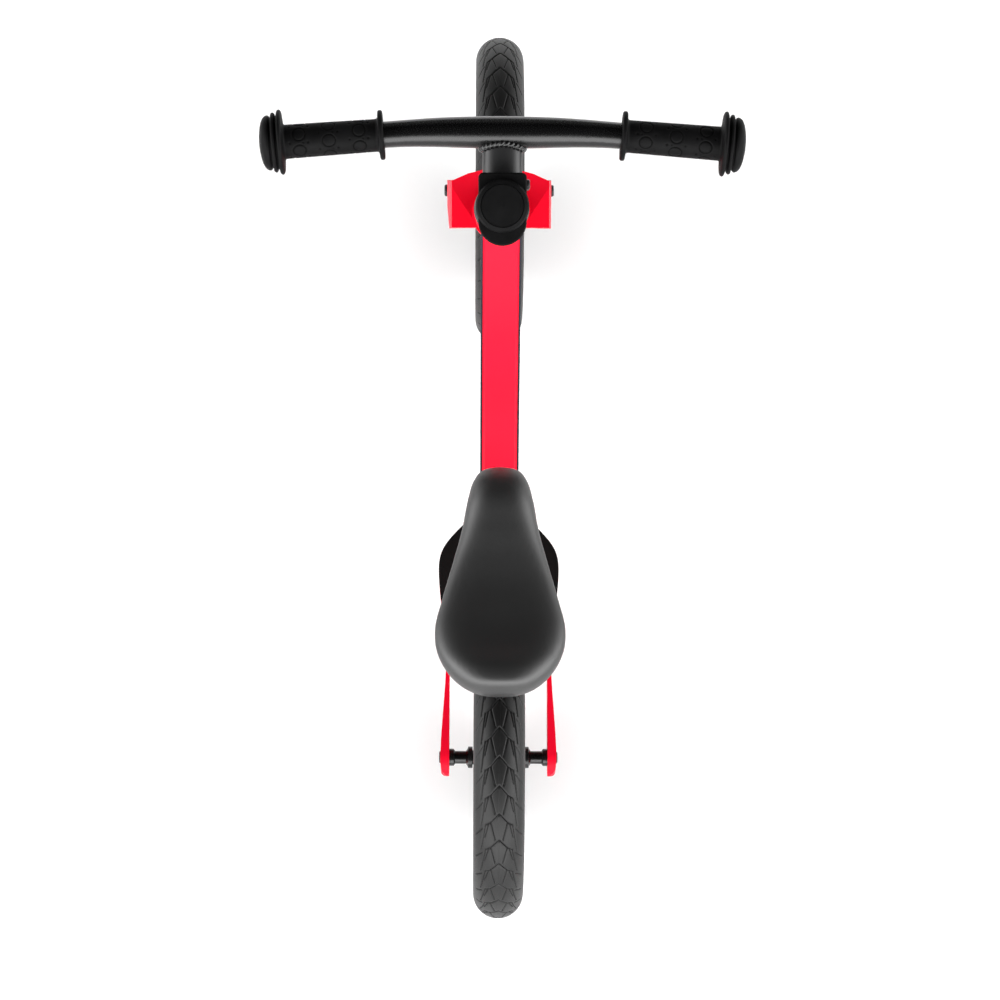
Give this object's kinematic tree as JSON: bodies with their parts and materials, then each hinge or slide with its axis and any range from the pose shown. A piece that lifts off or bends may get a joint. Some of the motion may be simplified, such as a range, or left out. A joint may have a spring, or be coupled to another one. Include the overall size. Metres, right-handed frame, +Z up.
{
  "type": "balance bike",
  "caption": "Child's balance bike with a one-piece frame, footrests, pneumatic tyres, a padded saddle and a welded handlebar.",
  "frame": {"origin": "on the ground, midway between the two wheels' axles", "axes": "+X forward, +Y to the rider's left, +Z up"},
  "size_m": [0.8579, 0.4102, 0.5641],
  "materials": {
    "red_paint": "satin",
    "dark_trim": "satin",
    "grip_tape": "matte",
    "black_alloy": "satin",
    "bearing_steel": "polished",
    "steel": "satin",
    "black_steel": "satin",
    "tyre_rubber": "matte",
    "soft_rubber": "matte",
    "saddle_skin": "satin",
    "black_plastic": "matte",
    "wheel_paint": "satin",
    "brass_valve": "satin"
  },
  "bodies": {
    "frame": {"frame": "red_paint", "side_trim_left": "dark_trim", "side_trim_right": "dark_trim", "footrest_pad_left": "grip_tape", "footrest_pad_right": "grip_tape", "headset_outer_races": "bearing_steel", "seat_collar": "black_alloy", "seat_collar_bolt": "black_steel", "seat_collar_nut": "black_steel", "rear_axle": "steel", "rear_axle_spacers": "black_alloy", "rear_axle_bolts": "black_steel", "rear_bearing_inner_races": "bearing_steel"},
    "steering": {"fork": "red_paint", "steerer_tube": "black_alloy", "crown_race": "steel", "headset_inner_races": "bearing_steel", "headset_balls": "bearing_steel", "compression_ring": "steel", "headset_cover": "black_alloy", "headset_spacers": "black_alloy", "stem": "black_alloy", "stem_pinch_bolts": "black_steel", "handlebar": "black_alloy", "grip_left": "soft_rubber", "grip_right": "soft_rubber", "preload_cap": "black_alloy", "preload_bolt": "black_steel", "star_nut": "steel", "stem_cover_cap": "soft_rubber", "front_axle": "steel", "front_axle_spacers": "black_alloy", "front_axle_bolts": "black_steel", "front_bearing_inner_races": "bearing_steel"},
    "front_wheel": {"front_wheel": "wheel_paint", "front_tyre": "tyre_rubber", "front_inner_tube": "soft_rubber", "front_valve": "brass_valve", "front_valve_cap": "black_plastic", "front_bearing_outer_races": "bearing_steel", "front_bearing_balls": "bearing_steel", "front_bearing_seals": "black_plastic"},
    "rear_wheel": {"rear_wheel": "wheel_paint", "rear_tyre": "tyre_rubber", "rear_inner_tube": "soft_rubber", "rear_valve": "brass_valve", "rear_valve_cap": "black_plastic", "rear_bearing_outer_races": "bearing_steel", "rear_bearing_balls": "bearing_steel", "rear_bearing_seals": "black_plastic"},
    "seatpost": {"seatpost": "black_alloy", "saddle_clamp_yoke": "black_steel"},
    "saddle": {"saddle_clamp_inner_plates": "black_steel", "saddle_clamp_outer_plates": "black_steel", "saddle_clamp_bolt": "black_steel", "saddle_clamp_nut": "black_steel", "saddle_rails": "black_steel", "saddle_base": "black_plastic", "saddle_cover": "saddle_skin"}
  },
  "joints": [
    {"name": "steering_turn", "type": "hinge", "parent": "frame", "child": "steering", "pos_m": [0.1721, 0, 0.37465], "axis": [-0.3338, 0, 0.9426], "continuous": true},
    {"name": "front_wheel_spin", "type": "hinge", "parent": "steering", "child": "front_wheel", "pos_m": [0.281, 0, 0.148], "axis": [0, 1, 0], "continuous": true},
    {"name": "rear_wheel_spin", "type": "hinge", "parent": "frame", "child": "rear_wheel", "pos_m": [-0.281, 0, 0.148], "axis": [0, 1, 0], "continuous": true},
    {"name": "seat_height", "type": "slide", "parent": "frame", "child": "seatpost", "axis": [-0.342, 0, 0.9397], "range_m": [-0.018, 0.06]},
    {"name": "saddle_tilt", "type": "hinge", "parent": "seatpost", "child": "saddle", "pos_m": [-0.16459, 0, 0.33626], "axis": [0, 1, 0], "range_deg": [-10, 10]}
  ]
}
